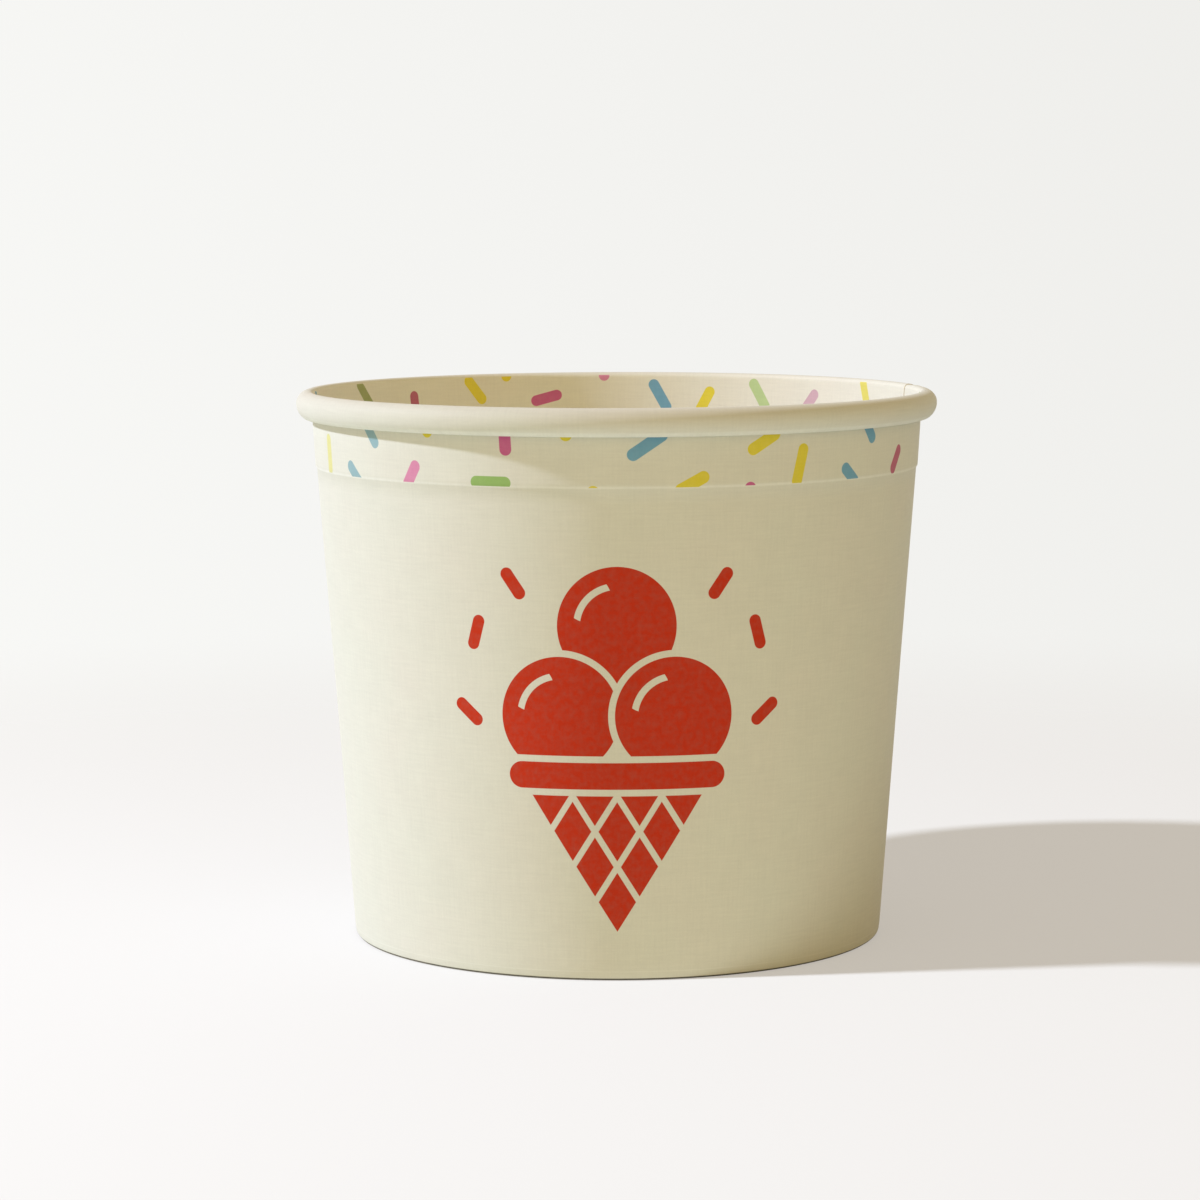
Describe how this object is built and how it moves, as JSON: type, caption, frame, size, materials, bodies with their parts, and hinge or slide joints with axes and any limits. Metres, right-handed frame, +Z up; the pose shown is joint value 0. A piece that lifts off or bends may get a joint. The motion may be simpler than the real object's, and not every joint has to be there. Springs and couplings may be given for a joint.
{
  "type": "paper ice cream cup",
  "caption": "Round tapered paper tub for ice cream, open at the top, with a rolled rim, a printed band under it, a lapped side seam and a recessed floor held in a folded hem.",
  "frame": {"origin": "on the table, under the middle of the foot", "axes": "+Z up along the cup's axis, -Y towards the front, +X to the right"},
  "size_m": [0.1, 0.1, 0.0854],
  "materials": {
    "wall_board": "matte",
    "floor_board": "matte"
  },
  "bodies": {
    "root": {"side_wall": "wall_board", "base_disc": "floor_board"}
  },
  "joints": []
}
